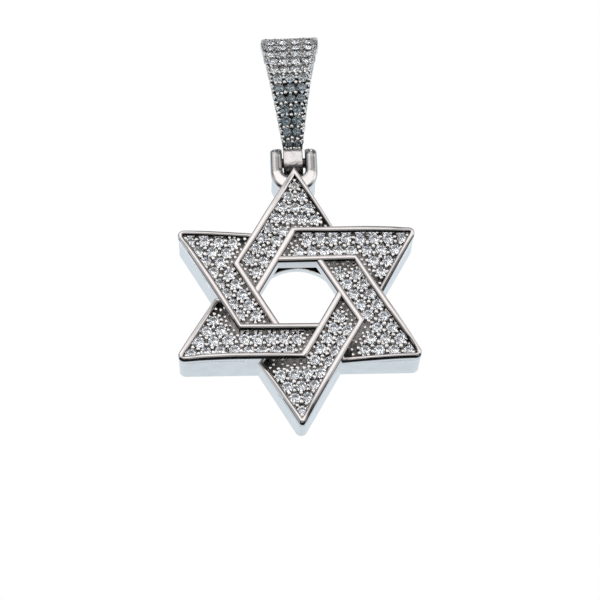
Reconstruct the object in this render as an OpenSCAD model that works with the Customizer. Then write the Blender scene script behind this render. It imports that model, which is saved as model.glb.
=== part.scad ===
// Star pendant of six woven ribbons filled with small stones, hung on a tapered stone-set bail.
// The origin is the top inside of the bail's loop, where a chain lies.
// +X is to the wearer's left, +Y to the back, +Z up.

/* [Star] */
// Distance from the star's centre to its points, before they are rounded
star_r = 14; // [12:0.5:18]
// Width of each ribbon of the star
band_w = 3.5; // [3:0.1:3.9]
// Thickness of the star from the rims' plane to its back
star_t = 4.5; // [4:0.1:6]
// Width of the polished rims along the star's outline
rim_w = 0.46; // [0.3:0.02:0.5]
// Part of an inner rim that lies on its own ribbon
inner_rim_in = 0.35; // [0.2:0.05:0.5]
// Part of an inner rim that reaches past its ribbon
inner_rim_out = 0.23; // [0.15:0.02:0.3]
// Rounding of the five free points in plan
point_r = 0.6; // [0.5:0.05:0.9]
// Rounding of the point under the bail
top_point_r = 0.1; // [0.05:0.05:0.3]
// Height of a ribbon's long rim at its middle above the points
crest_h = 0.45; // [0.2:0.05:0.7]
// Depth of a rim's low end, where it dives under the next ribbon
dive_h = 0.95; // [0.6:0.05:1.1]
// Depth of the stones' recess below the rims
recess_t = 1.1; // [1.05:0.05:1.2]

/* [Body of the star] */
// Depth of the front shell's lower side
shell_t = 1.95; // [1.9:0.05:2.3]
// Thickness of the outer walls
wall_t = 0.9; // [0.7:0.1:1.2]
// Thickness of the back plate
back_t = 0.75; // [0.7:0.05:1.2]
// Radius of the round hole in the back plate
back_hole_r = 4.38; // [3.8:0.02:4.6]
// Depth of the wall round the six-sided window, from which the shell slopes back
collar_t = 1.23; // [1.2:0.01:1.6]
// Rounding of the back edge
back_round = 0.6; // [0.3:0.05:0.8]

/* [Stones] */
// Diameter of a stone in the star
stone_d = 1.08; // [0.9:0.02:1.08]
// Diameter of the stone in each point of the star
point_stone_d = 0.9; // [0.7:0.05:0.9]
// Height of a stone above its widest line
crown_t = 0.18; // [0.1:0.02:0.2]
// Depth of a stone below its widest line
pavilion_t = 0.42; // [0.3:0.02:0.44]
// Diameter of a stone's table as a share of the stone's own diameter
table_share = 0.56; // [0.5:0.02:0.65]
// Gap left under the stones' lowest points
seat_gap = 0.08; // [0.05:0.01:0.1]
// Distance from a point of the star to its first stone
first_row = 1.97; // [1.95:0.05:2.3]
// Distance between rows of stones in a point
row_pitch = 1.227; // [1.2:0.02:1.4]
// Distance between stones along a row
stone_pitch = 1.28; // [1.2:0.01:1.4]
// Smallest gap between a stone and a rim
rim_gap = 0.05; // [0.05:0.01:0.1]
// Room between the stones of a point and the ribbon that crosses it
crossing_room = 1.3; // [1.2:0.05:1.5]
// Room between the start of a ribbon's strip and its first stones, row by row
strip_start_room = [1.17, 0.74]; // [0.5:0.01:1.5]
// Room between a strip's last stone and the rim that crosses it
strip_end_room = 1.35; // [1.3:0.05:1.5]

/* [Yoke and pin] */
// Height of the hinge pin's axis above the star's point
pin_rise = 1.6; // [1.5:0.1:2]
// Distance of the hinge pin's axis behind the rims' plane
pin_back = 2.3; // [2.1:0.1:2.6]
// Radius of the hinge pin
pin_r = 0.5; // [0.4:0.05:0.6]
// Outer width of the yoke
yoke_w = 4.8; // [4:0.1:5]
// Width of the slot between the yoke's ears
slot_w = 2.3; // [2.3:0.02:2.6]
// Depth of the slot's floor below the pin's axis
slot_drop = 2.3; // [2.1:0.1:2.5]
// Front to back size of the yoke's foot
yoke_t = 3.6; // [3.2:0.1:3.8]
// Height of the yoke's round foot centre above the slot's floor
foot_rise = 0.45; // [0.3:0.05:0.6]
// Radius of the ears' round tops
ear_r = 1.5; // [1.3:0.05:1.7]
// How far the pin's ends keep inside the ears' outer faces
pin_inset = 0.05; // [0.02:0.01:0.1]
// Gap around the pin in the yoke's ears
press_gap = 0.01; // [0.005:0.005:0.02]
// Gap around the pin in the knuckle
run_gap = 0.05; // [0.03:0.01:0.1]

/* [Bail] */
// Width of the knuckle that hangs between the ears
knuckle_w = 1.95; // [1.7:0.05:2.1]
// Front to back size of the knuckle
knuckle_t = 2.7; // [2.4:0.1:3]
// Radius of the knuckle's round underside
knuckle_r = 1.65; // [1.55:0.05:1.8]
// Height of the knuckle's top above the pin's axis
knuckle_rise = 0.8; // [0.7:0.05:1.1]
// Radius of the loop's front and back in side view
loop_r = 10.9; // [10:0.1:12]
// Half of the angle that the loop's front covers in side view
loop_half_angle = 37; // [34:1:39]
// Thickness of the loop's wall
loop_wall = 0.9; // [0.85:0.05:1.1]
// Width of the loop at its top
loop_top_w = 5.9; // [5:0.1:7]
// Length of the loop's parallel stretch below its top
loop_straight = 1.8; // [1:0.1:3]
// Rounding of the loop's top corners in front view
loop_corner_r = 0.4; // [0.2:0.05:0.8]
// Solid stretch above the knuckle, below the loop's opening
crotch_t = 0.6; // [0.5:0.05:1]
// How much narrower each side of the loop gets per millimetre towards its back
back_narrow = 0.2; // [0:0.01:0.25]
// Depth of the channel that holds the bail's stones
channel_t = 0.48; // [0.46:0.01:0.5]
// Thickness of the channel's side walls
channel_wall = 0.15; // [0.12:0.01:0.2]
// Diameter of the bail's largest stones
bail_stone_d = 1.05; // [0.9:0.05:1.1]
// Distance from the knuckle to the bail's first row of stones
bail_first_row = 0.62; // [0.55:0.01:0.7]
// Distance from the bail's last row of stones to the upper end of the loop's front
bail_last_row = 0.59; // [0.55:0.01:0.7]
// How far the bail is turned in its slack, seen from above
bail_turn = 3; // [0:0.5:6.5]

/* [Hidden] */
round_fn = 64;
eps = 0.01;

// Stones in each row of the bail, from the knuckle up
bail_row_counts = [2, 2, 2, 2, 3, 3, 3, 4, 4, 4, 4, 4];
// Facets round a stone
facets = 8;
// Least gap between two stones on the bail
bail_stone_gap = 0.12;
// Widest gap between two stones of one row on the bail
bail_spread = 0.25;
// How much lower than the next rim a joined rim ends
butt_drop = 0.25;
// Overlap of joined solids
lap = 0.15;
// Inset of the side wall below the rims
wall_step = 0.03;
// How far the yoke's foot keeps below the recess
foot_lap = 0.3;
// Height of the stones where a ribbon's strip ends, and beside its short rim
strip_end_level = -0.1;
short_side_level = -0.12;

// Side profile of the loop: front arc, top arc and their centres
half_t = knuckle_t / 2;
arc_y = loop_r * cos(loop_half_angle) - half_t;
arc_rise = loop_r * sin(loop_half_angle);
top_r = half_t / cos(loop_half_angle);
knuckle_to_seat = 2 * arc_rise - top_r * sin(loop_half_angle) + top_r - loop_wall;

// Levels along Z, from the seat down
knuckle_top = -knuckle_to_seat;
pin_z = knuckle_top - knuckle_rise;
point_z = pin_z - pin_rise;
star_z = point_z - star_r;
arc_z = knuckle_top + arc_rise;
top_arc_z = loop_wall - top_r;
loop_top = loop_wall;

// Spacing of the bail's rows along the loop's front, and the largest stone it leaves room for
bail_row_pitch = (loop_r * 2 * loop_half_angle * PI / 180 - bail_first_row - bail_last_row)
    / (len(bail_row_counts) - 1);
bail_stone_limit = min(bail_stone_d, bail_row_pitch - bail_stone_gap);

// Plan of one ribbon: u runs from its point along the long rim, v runs across the ribbon
sqrt3 = sqrt(3);
u_foot = star_r * sqrt3 / 2;
half_r = star_r / 2;
u_b = u_foot + (half_r / 2 - band_w) * 2 / sqrt3;
u_d = u_foot + (half_r - band_w) / sqrt3;
u_e = u_foot - (half_r + band_w) / sqrt3;
u_f = u_foot / 3;
side_len = star_r / sqrt3;

// Heights of the rims above the points: [share of the star's radius, height]
ridge_long = [[0, 0], [0.2, 0.6 * crest_h], [0.43, crest_h], [0.65, 0.93 * crest_h]];
ridge_corner = 0.78 * crest_h;
ridge_inner = 0.55 * crest_h;
ridge_end = (1 - butt_drop) * ridge_inner;
// Heights of the short rim: [share of its length, height as a share of the dive]
short_rim = [[0.3, 0.08], [0.62, 0.42]];

// Heights that the stones follow along the ribbon's two sides: [u, height]
near_side = [[0, 0], [0.21 * star_r, 0.62 * crest_h], [0.433 * star_r, crest_h],
             [0.64 * star_r, 0.93 * crest_h], [u_b, 0], [u_d, strip_end_level]];
far_side = [[0, 0], [u_f / 2, short_side_level], [u_f, -0.52 * dive_h], [u_e, 0],
            [(u_e + u_d) / 2, 0.45 * crest_h], [u_d, strip_end_level]];

along = [-1 / 2, -sqrt3 / 2];
across = [sqrt3 / 2, -1 / 2];
down_short = [1 / 2, -sqrt3 / 2];
in_short = [-sqrt3 / 2, -1 / 2];

// Point of a ribbon's plan in the star's own x and z
function plan(u, v) = [0, star_r] + along * u + across * v;
// Plan point turned clockwise by k sixths of a turn
function turned(p, k) = [p[0] * cos(60 * k) + p[1] * sin(60 * k), p[1] * cos(60 * k) - p[0] * sin(60 * k)];
// Plan point and height towards the viewer, placed in the pendant
function placed(p, h) = [p[0], -h - pin_back, p[1] + star_z];
// Lower and upper limit of v at u, on a ribbon's true outline
function v_low(u) = max(0, sqrt3 * (u - u_b));
function v_high(u) = u < u_f ? sqrt3 * u : max(band_w, band_w - sqrt3 * (u - u_e));
// Height that the stones follow at a place on the ribbon
function stone_level(u, v) =
    let (low = v_low(u), high = v_high(u),
         t = high - low < eps ? 0 : min(1, max(0, (v - low) / (high - low))))
    (1 - t) * lookup(u, near_side) + t * lookup(u, far_side);
// Where two lines meet, each given by a point and a direction
function meet(p, d, q, e) =
    let (s = ((q[0] - p[0]) * e[1] - (q[1] - p[1]) * e[0]) / (d[0] * e[1] - d[1] * e[0])) p + d * s;

// Outline of the whole star at an inset, with its points rounded
function point_arc(k, inset) =
    let (r = k == 0 ? top_point_r : point_r, c = [0, star_r - 2 * inset - 2 * r])
    [for (a = [150:-30:30]) turned(c + r * [cos(a), sin(a)], k)];
function notch(k, inset) = turned([cos(60), sin(60)] * (star_r - 2 * inset) / sqrt3, k);
function star_outline(inset) = [for (k = [0:5]) each concat(point_arc(k, inset), [notch(k, inset)])];

// Solid through a list of rings with equal counts of points; each end is a fan from its first point
module loft(rings) {
    n = len(rings[0]);
    m = len(rings);
    sides = [for (i = [0:m - 2], j = [0:n - 1]) let (a = i * n + j, b = i * n + (j + 1) % n)
             each [[a, b, a + n], [b, b + n, a + n]]];
    start = [for (j = [1:n - 2]) [0, j + 1, j]];
    end = [for (j = [1:n - 2]) [(m - 1) * n, (m - 1) * n + j, (m - 1) * n + j + 1]];
    polyhedron([for (ring = rings) each ring], concat(sides, start, end), convexity = 6);
}

// Solid through star-shaped rings, with its ends fanned from a centre point
module star_loft(insets_depths) {
    rings = [for (row = insets_depths) [for (p = star_outline(row[0])) placed(p, -row[1])]];
    n = len(rings[0]);
    m = len(rings);
    sides = [for (i = [0:m - 2], j = [0:n - 1]) let (a = i * n + j, b = i * n + (j + 1) % n)
             each [[a, a + n, b], [b, a + n, b + n]]];
    front = [for (j = [0:n - 1]) [j, (j + 1) % n, m * n]];
    back = [for (j = [0:n - 1]) [(m - 1) * n + (j + 1) % n, (m - 1) * n + j, m * n + 1]];
    centres = [placed([0, 0], -insets_depths[0][1]), placed([0, 0], -insets_depths[m - 1][1])];
    polyhedron(concat([for (ring = rings) each ring], centres), concat(sides, front, back), convexity = 6);
}

// Plan shape made solid between two depths behind the rims' plane
module plate(front, back) {
    translate([0, back - pin_back, star_z])
        rotate([90, 0, 0])
            linear_extrude(back - front)
                children();
}

// Side view shape made solid across X
module across_x(width) {
    translate([-width / 2, 0, 0])
        rotate([90, 0, 90])
            linear_extrude(width)
                children();
}

// Front view shape made solid along Y
module along_y(depth) {
    translate([0, depth / 2, 0])
        rotate([90, 0, 0])
            linear_extrude(depth)
                children();
}

// Rims of one ribbon: short rim, point, long rim and its run on as the next ribbon's inner rim
function rim_ring(outer, inner, h, k) =
    [placed(turned(outer, k), -shell_t), placed(turned(outer, k), h),
     placed(turned(inner, k), h), placed(turned(inner, k), -shell_t)];
module rims(k) {
    r = k == 0 ? top_point_r : point_r;
    inner_point = [0, star_r - 2 * rim_w];
    step = max(0.1, (r - rim_w) * sqrt3 / 2);
    arc_centre = [0, star_r - 2 * r];
    turn_dir = turned(along, -1);
    near_line = turned(plan(0, band_w - inner_rim_in), -1);
    far_line = turned(plan(0, band_w + inner_rim_out), -1);
    corner_out = meet(plan(0, 0), along, near_line, turn_dir);
    corner_in = meet(plan(0, rim_w), along, far_line, turn_dir);
    short_end = side_len + 2 * lap;
    short_rings = concat(
        [rim_ring([0, star_r] + down_short * short_end,
                  [0, star_r] + down_short * (short_end - rim_w / sqrt3) + in_short * rim_w, -dive_h, k)],
        [for (i = [len(short_rim) - 1:-1:0]) let (s = short_rim[i][0] * side_len)
         rim_ring([0, star_r] + down_short * s, [0, star_r] + down_short * s + in_short * rim_w,
                  -short_rim[i][1] * dive_h, k)]);
    point_rings = [for (i = [-2:2]) let (a = 90 + 30 * i, dir = i < 0 ? down_short : along)
                   rim_ring(arc_centre + r * [cos(a), sin(a)], inner_point + dir * abs(i) * step, 0, k)];
    long_rings = [for (i = [1:len(ridge_long) - 1]) let (u = ridge_long[i][0] * star_r)
                  rim_ring(plan(u, 0), plan(u, rim_w), ridge_long[i][1], k)];
    corner_rings = [rim_ring(corner_out, corner_in, ridge_corner, k)];
    v_near = band_w - inner_rim_in;
    v_far = band_w + inner_rim_out;
    u_mid = (u_e + u_d) / 2;
    inner_rings = [
        rim_ring(turned(plan(u_mid, v_near), -1), turned(plan(u_mid, v_far), -1), ridge_inner, k),
        rim_ring(turned(plan(u_b + v_near / sqrt3 + lap, v_near), -1),
                 turned(plan(u_b + v_far / sqrt3 + lap, v_far), -1), ridge_end, k)];
    loft(concat(short_rings, point_rings, long_rings, corner_rings, inner_rings));
}

// Floor under one ribbon's stones, down to the shell's lower side
module ribbon_floor(k) {
    low = function (u) max(lap, sqrt3 * (u - u_b) - 2 * lap);
    high = function (u) u < u_f + lap * 2 / sqrt3
        ? sqrt3 * u - 2 * lap
        : max(band_w - lap, band_w - sqrt3 * (u - u_e) + 2 * lap);
    stations = [1.2 * rim_w, u_f / 2, u_f + lap * 2 / sqrt3, (u_f + u_e) / 2 + lap * 2 / sqrt3,
                u_e + lap * sqrt3, (u_e + 2 * u_foot) / 3 - 1, (u_e + u_d) / 2,
                u_b + lap * sqrt3, (u_b + u_d) / 2 + lap, u_d];
    at_floor = function (u, v) placed(turned(plan(u, v), k), stone_level(u, v) - recess_t);
    at_base = function (u, v) placed(turned(plan(u, v), k), -shell_t);
    loft([for (u = stations) let (a = low(u), b = high(u))
          [at_base(u, a), at_floor(u, a), at_floor(u, (a + b) / 2), at_floor(u, b), at_base(u, b)]]);
}

// Hollow body behind the ribbons: outer walls and back plate with its round hole
module body() {
    difference() {
        star_loft([[wall_step, shell_t - lap], [wall_step, star_t - back_round],
                   [wall_step + 0.3 * back_round, star_t - 0.3 * back_round],
                   [wall_step + back_round, star_t]]);
        plate(shell_t - 2 * lap, star_t - back_t)
            polygon(star_outline(wall_t));
        translate([0, star_t - pin_back + eps, star_z])
            rotate([90, 0, 0])
                cylinder(h = back_t + 2 * eps, r = back_hole_r, $fn = round_fn);
    }
}

// Slope behind the window's wall, from its edge back to the shell's lower side
module window_slope() {
    apothem = half_r - band_w - inner_rim_out;
    slope = shell_t - collar_t + lap;
    ring = function (a, depth) [for (k = [5:-1:0]) placed(turned([a * 2 / sqrt3, 0], k), -depth)];
    loft([ring(apothem, collar_t), ring(apothem + slope, collar_t + slope)]);
}

// Yoke that carries the hinge pin, soldered round the star's top point
module yoke() {
    half_w = yoke_w / 2;
    foot_z = pin_z - slot_drop + foot_rise;
    half_foot = yoke_t / 2;
    difference() {
        intersection() {
            along_y(2 * star_t) {
                translate([0, foot_z]) circle(r = half_w, $fn = round_fn);
                translate([-half_w, foot_z]) square([yoke_w, pin_z + ear_r - foot_z]);
            }
            across_x(yoke_w + 2 * eps) {
                translate([0, pin_z]) circle(r = ear_r, $fn = round_fn);
                polygon([[-half_foot, foot_z - half_w - eps], [-half_foot, foot_z], [-ear_r, pin_z],
                         [ear_r, pin_z], [half_foot, foot_z], [half_foot, foot_z - half_w - eps]]);
            }
        }
        plate(-crest_h - dive_h, recess_t + foot_lap)
            polygon(star_outline(rim_w / 2));
    }
}

module star_frame() {
    color("gainsboro")
        difference() {
            union() {
                body();
                for (k = [0:5]) {
                    rims(k);
                    ribbon_floor(k);
                }
                yoke();
            }
            window_slope();
            translate([-slot_w / 2, -yoke_t / 2, pin_z - slot_drop])
                cube([slot_w, yoke_t + star_t, slot_drop + ear_r + eps]);
            translate([-yoke_w, 0, pin_z])
                rotate([0, 90, 0])
                    cylinder(h = 2 * yoke_w, r = pin_r + press_gap, $fn = round_fn);
        }
}

// Pin through the yoke's ears and the knuckle
module hinge_pin() {
    color("silver")
        translate([-yoke_w / 2 + pin_inset, 0, pin_z])
            rotate([0, 90, 0])
                cylinder(h = yoke_w - 2 * pin_inset, r = pin_r, $fn = round_fn);
}

// Half width of the bail at a height
function bail_half_w(z) =
    lookup(z, [[knuckle_top, knuckle_w / 2], [loop_top - loop_straight, loop_top_w / 2]]);

// Side view of the loop, shrunk by an inset
module loop_side(inset, bottom) {
    r = loop_r - inset;
    tangent_z = arc_z + r * sin(loop_half_angle);
    intersection() {
        translate([arc_y, arc_z]) circle(r = r, $fn = 4 * round_fn);
        translate([-arc_y, arc_z]) circle(r = r, $fn = 4 * round_fn);
        translate([-loop_r, bottom]) square([2 * loop_r, tangent_z - bottom]);
    }
    translate([0, top_arc_z]) circle(r = top_r - inset, $fn = round_fn);
}

// Front view of the bail, shrunk by an inset
module bail_front(inset, bottom) {
    half_top = loop_top_w / 2 - inset;
    corner_z = loop_top - loop_corner_r;
    right = concat(
        [[knuckle_w / 2 - inset, bottom], [knuckle_w / 2 - inset, knuckle_top],
         [half_top, loop_top - loop_straight]],
        [for (a = [0:30:90]) [half_top - loop_corner_r, corner_z] + loop_corner_r * [cos(a), sin(a)]]);
    left = [for (i = [len(right) - 1:-1:0]) [-right[i][0], right[i][1]]];
    polygon(concat(right, left));
}

// Wedge that is cut off the right side of the loop's back
module back_wedge() {
    slope = (loop_top_w - knuckle_w) / 2 / (loop_top - loop_straight - knuckle_top);
    depth = loop_r - arc_y + lap;
    top = loop_top + lap;
    points = [for (z = [knuckle_top, top])
        let (half_w = knuckle_w / 2 + slope * (z - knuckle_top))
        each [[half_w + back_narrow * lap, -lap, z], [half_w + depth, -lap, z],
              [half_w + depth, depth, z], [half_w - back_narrow * depth, depth, z]]];
    polyhedron(points, [[0, 1, 2, 3], [7, 6, 5, 4], [0, 4, 5, 1], [1, 5, 6, 2], [2, 6, 7, 3], [3, 7, 4, 0]]);
}

// Loop and knuckle in one, before the turn and the pin's bore
module bail_blank() {
    difference() {
        intersection() {
            across_x(2 * loop_top_w) {
                difference() {
                    loop_side(0, knuckle_top - eps);
                    loop_side(loop_wall, knuckle_top + crotch_t);
                }
                translate([-half_t, pin_z]) square([knuckle_t, knuckle_rise + eps]);
                intersection() {
                    translate([0, pin_z]) circle(r = knuckle_r, $fn = round_fn);
                    translate([-half_t, pin_z - knuckle_r]) square([knuckle_t, knuckle_r + eps]);
                }
            }
            along_y(3 * loop_r)
                bail_front(0, pin_z - 2 * knuckle_r);
        }
        intersection() {
            across_x(2 * loop_top_w)
                difference() {
                    translate([-2 * half_t - arc_y, knuckle_top + channel_wall])
                        square([2 * half_t + arc_y, 2 * arc_rise]);
                    translate([arc_y, arc_z]) circle(r = loop_r - channel_t, $fn = 4 * round_fn);
                }
            along_y(3 * loop_r)
                bail_front(channel_wall, knuckle_top);
        }
        back_wedge();
        mirror([1, 0, 0]) back_wedge();
    }
}

module bail() {
    color("silver")
        difference() {
            rotate([0, 0, -bail_turn]) bail_blank();
            translate([-yoke_w, 0, pin_z])
                rotate([0, 90, 0])
                    cylinder(h = 2 * yoke_w, r = pin_r + run_gap, $fn = round_fn);
        }
}

// Points of one cut stone: table, widest line and lowest point
// at is the middle of its widest line, out its axis towards the table, side and up span its plane
function gem_points(at, out, side, up, d) =
    let (r = d / 2, s = d / stone_d)
    concat(
        [for (i = [0:facets - 1]) let (a = 360 * (i + 0.5) / facets)
         at + r * table_share * (cos(a) * side + sin(a) * up) + crown_t * s * out],
        [for (i = [0:facets - 1]) let (a = 360 * (i + 0.5) / facets)
         at + r * (cos(a) * side + sin(a) * up)],
        [at - pavilion_t * s * out]);
function gem_faces(first) =
    let (n = facets)
    concat(
        [[for (i = [n - 1:-1:0]) first + i]],
        [for (i = [0:n - 1]) let (j = (i + 1) % n) [first + i, first + j, first + n + j, first + n + i]],
        [for (i = [0:n - 1]) let (j = (i + 1) % n) [first + n + i, first + n + j, first + 2 * n]]);
// A field of stones from a list of [middle, out, side, up, diameter]
module gems(field) {
    size = 2 * facets + 1;
    polyhedron([for (g = field) each gem_points(g[0], g[1], g[2], g[3], g[4])],
               [for (i = [0:len(field) - 1]) each gem_faces(i * size)], convexity = 4);
}

// Places of a ribbon's stones: [u, v, diameter]
point_rows = floor((half_r - crossing_room - first_row) / row_pitch);
point_stones = [for (r = [0:point_rows], i = [0:r])
                let (x = (i - r / 2) * stone_pitch, down = first_row + r * row_pitch)
                [-x / 2 + down * sqrt3 / 2, x * sqrt3 / 2 + down / 2, r == 0 ? point_stone_d : stone_d]];
strip_v = [rim_w + rim_gap + stone_d / 2,
           rim_w + rim_gap + stone_d / 2 + stone_pitch];
strip_stones = [for (row = [0:1])
                let (v = strip_v[row], first = u_e + strip_start_room[row],
                     last = u_b + v / sqrt3 - strip_end_room)
                for (u = [first:stone_pitch:last]) [u, v, stone_d]];

// Stones of ribbon k
module ribbon_stones(k) {
    color("azure")
        gems([for (s = concat(point_stones, strip_stones))
              let (girdle = stone_level(s[0], s[1]) - recess_t + seat_gap + pavilion_t * s[2] / stone_d)
              [placed(turned(plan(s[0], s[1]), k), girdle), [0, -1, 0], [1, 0, 0], [0, 0, 1], s[2]]]);
}

module stones_bail() {
    edge = channel_wall + rim_gap;
    color("azure")
        rotate([0, 0, -bail_turn])
            gems([for (row = [0:len(bail_row_counts) - 1])
                  let (n = bail_row_counts[row],
                       a = (bail_first_row + row * bail_row_pitch) / loop_r * 180 / PI - loop_half_angle,
                       z = arc_z + loop_r * sin(a),
                       room = 2 * (bail_half_w(z - bail_stone_limit / 2) - edge),
                       d = min(bail_stone_limit, (room - bail_stone_gap * (n - 1)) / n),
                       pitch = min((room - d) / (n - 1), d + bail_spread),
                       r = loop_r - channel_t + seat_gap / 2 + pavilion_t * d / stone_d)
                  for (i = [0:n - 1])
                  [[(i - (n - 1) / 2) * pitch, arc_y - r * cos(a), arc_z + r * sin(a)],
                   [0, -cos(a), sin(a)], [1, 0, 0], [0, sin(a), cos(a)], d]]);
}

bail();
hinge_pin();
star_frame();
ribbon_stones(0);  // stones_top
ribbon_stones(1);  // stones_upper_right
ribbon_stones(2);  // stones_lower_right
ribbon_stones(3);  // stones_bottom
ribbon_stones(4);  // stones_lower_left
ribbon_stones(5);  // stones_upper_left
stones_bail();
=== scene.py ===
import bisect
import itertools
import math
import random
from math import cos, radians, sin, sqrt, tau

import bmesh
import bpy
from mathutils import Matrix, Vector


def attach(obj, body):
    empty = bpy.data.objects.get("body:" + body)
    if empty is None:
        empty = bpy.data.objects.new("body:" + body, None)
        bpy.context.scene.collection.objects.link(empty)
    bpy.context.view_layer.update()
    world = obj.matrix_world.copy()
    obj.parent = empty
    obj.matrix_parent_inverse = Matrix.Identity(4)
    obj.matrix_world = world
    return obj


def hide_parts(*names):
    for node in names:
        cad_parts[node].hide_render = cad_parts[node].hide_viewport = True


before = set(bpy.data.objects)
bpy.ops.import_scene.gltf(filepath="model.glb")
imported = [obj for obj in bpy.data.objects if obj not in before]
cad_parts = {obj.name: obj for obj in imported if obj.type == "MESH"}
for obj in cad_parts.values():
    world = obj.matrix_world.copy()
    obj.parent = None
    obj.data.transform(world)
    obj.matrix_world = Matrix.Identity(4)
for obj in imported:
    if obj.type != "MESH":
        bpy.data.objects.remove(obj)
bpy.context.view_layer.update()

random.seed(7)
MM = 0.001
ROOT3 = sqrt(3)
HAIR = 1e-6

# Sizes of the star in millimetres, as in the part's source: its plan, its heights, its body and its centre
STAR_R, BAND_W, RIM_W = 14.0, 3.5, 0.46
INNER_RIM_IN, INNER_RIM_OUT = 0.35, 0.23
POINT_R, TOP_R = 0.6, 0.1
CREST, DIVE = 0.45, 0.95
RECESS, SHELL, DEPTH, PLATE, WALL = 1.1, 1.95, 4.5, 0.75, 0.9
HOLE_R, BACK_ROUND, COLLAR = 4.38, 0.6, 1.23
STAR_Z = -29.293

# Sizes and rooms of the stones
STONE, POINT_STONE, CROWN, PAVILION, TABLE, SEAT = 1.08, 0.9, 0.18, 0.42, 0.56, 0.08
FIRST_ROW, ROW, PITCH = 1.97, 1.227, 1.28
RIM_GAP, CROSSING_ROOM, START_ROOM, END_ROOM = 0.05, 1.3, (1.17, 0.74), 1.35

# Sizes of the hinge: the pin, the yoke and the knuckle
PIN_Z, PIN_BACK, PIN_R, KNUCKLE_GAP, EAR_GAP = -13.693, 2.3, 0.5, 0.05, 0.02
YOKE_W, SLOT_W, SLOT_DROP, YOKE_T, EAR_R, FOOT_RISE = 4.8, 2.3, 2.3, 3.6, 1.5, 0.45
KNUCKLE_TOP, KNUCKLE_W, KNUCKLE_T, KNUCKLE_R, KNUCKLE_ROUND = -12.893, 1.95, 2.7, 1.65, 0.12

# Sizes of the bail: the arcs of its side view, its width, the channel for its stones and their rows
ARC_Y, ARC_Z, LOOP_R, LOOP_A = 7.355, -6.333, 10.9, 37.0
TOP_ARC_Z, TOP_ARC_R, LOOP_WALL = -0.790, 1.690, 0.9
LOOP_TOP_W, LOOP_STRAIGHT, LOOP_CORNER, BACK_NARROW = 5.9, 1.8, 0.4, 0.2
CHANNEL, CHANNEL_WALL = 0.48, 0.15
BAIL_STONE, STONE_GAP, MOST_GAP = 1.05, 0.12, 0.25
BAIL_ROWS = [2, 2, 2, 2, 3, 3, 3, 4, 4, 4, 4, 4]
BAIL_FIRST, BAIL_LAST = 0.62, 0.59
BAIL_PITCH = (LOOP_R * radians(2 * LOOP_A) - BAIL_FIRST - BAIL_LAST) / (len(BAIL_ROWS) - 1)
BAIL_TURN = radians(-3)

# Centre to long side, and a point's edge. Then places u along a long side from its point: its middle, the
# ends of a ribbon's outer and inner side, the inner side's start, and the notch.
APOTHEM, EDGE = STAR_R / 2, STAR_R / ROOT3
U_MIDDLE = STAR_R * ROOT3 / 2
U_OUTER_END = U_MIDDLE + (APOTHEM / 2 - BAND_W) * 2 / ROOT3
U_INNER_END = U_MIDDLE + (APOTHEM - BAND_W) / ROOT3
U_INNER = U_MIDDLE - (APOTHEM + BAND_W) / ROOT3
U_NOTCH = U_MIDDLE / 3


def vec(*p):
    return Vector(p)


# Directions in the top ribbon's plan: along and across its long side, down and in from its short side
ALONG, ACROSS = vec(-0.5, -ROOT3 / 2), vec(ROOT3 / 2, -0.5)
DOWN_SHORT, IN_SHORT = vec(0.5, -ROOT3 / 2), vec(-ROOT3 / 2, -0.5)
APEX = vec(0, STAR_R)
FRONT_AXES = vec(0, -1, 0), vec(1, 0, 0), vec(0, 0, 1)


def plan(u, v):
    """Place in the star's plan at u along the top ribbon's long side and v across it."""
    return APEX + ALONG * u + ACROSS * v


def turned(p, k):
    """A plan place of the top ribbon, moved to ribbon k."""
    c, s = cos(radians(60 * k)), sin(radians(60 * k))
    return vec(p[0] * c + p[1] * s, p[1] * c - p[0] * s)


def placed(p, h):
    """A plan place at a height in front of the points' plane, in the frame."""
    return vec(p[0], -h - PIN_BACK, p[1] + STAR_Z)


def lookup(x, keys):
    """The value at x on straight lines through (x, value) keys."""
    if x <= keys[0][0]:
        return keys[0][1]
    for (a, p), (b, q) in zip(keys, keys[1:]):
        if x <= b:
            return p + (q - p) * (x - a) / (b - a)
    return keys[-1][1]


def smooth_through(keys):
    """A monotone smooth curve through (x, y) keys."""
    xs, ys = zip(*keys)
    d = [(ys[i + 1] - ys[i]) / (xs[i + 1] - xs[i]) for i in range(len(xs) - 1)]
    m = [d[0]] + [0 if a * b <= 0 else 2 * a * b / (a + b) for a, b in zip(d, d[1:])] + [d[-1]]

    def at(x):
        x = min(max(x, xs[0]), xs[-1])
        i = min(bisect.bisect_right(xs, x) - 1, len(xs) - 2)
        w = xs[i + 1] - xs[i]
        t = (x - xs[i]) / w
        return ((2 * t ** 3 - 3 * t * t + 1) * ys[i] + (t ** 3 - 2 * t * t + t) * w * m[i]
                + (3 * t * t - 2 * t ** 3) * ys[i + 1] + (t ** 3 - t * t) * w * m[i + 1])
    return at


def smoothstep(a, b, x):
    t = min(1, max(0, (x - a) / (b - a)))
    return t * t * (3 - 2 * t)


def ray(a):
    """Direction in plan at an angle in radians."""
    return vec(cos(a), sin(a))


def meet(p, d, q, e):
    """Where the line through p along d meets the line through q along e."""
    s = ((q.x - p.x) * e.y - (q.y - p.y) * e.x) / (d.x * e.y - d.y * e.x)
    return p + d * s


# Heights of a ribbon's surface along its long side and along the sides across from it
NEAR = [(0, 0), (0.21 * STAR_R, 0.62 * CREST), (0.433 * STAR_R, CREST), (0.64 * STAR_R, 0.93 * CREST),
        (U_OUTER_END, 0), (U_INNER_END, -0.1)]
FAR = [(0, 0), (U_NOTCH / 2, -0.12), (U_NOTCH, -0.52 * DIVE), (U_INNER, 0),
       ((U_INNER + U_INNER_END) / 2, 0.45 * CREST), (U_INNER_END, -0.1)]


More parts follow.
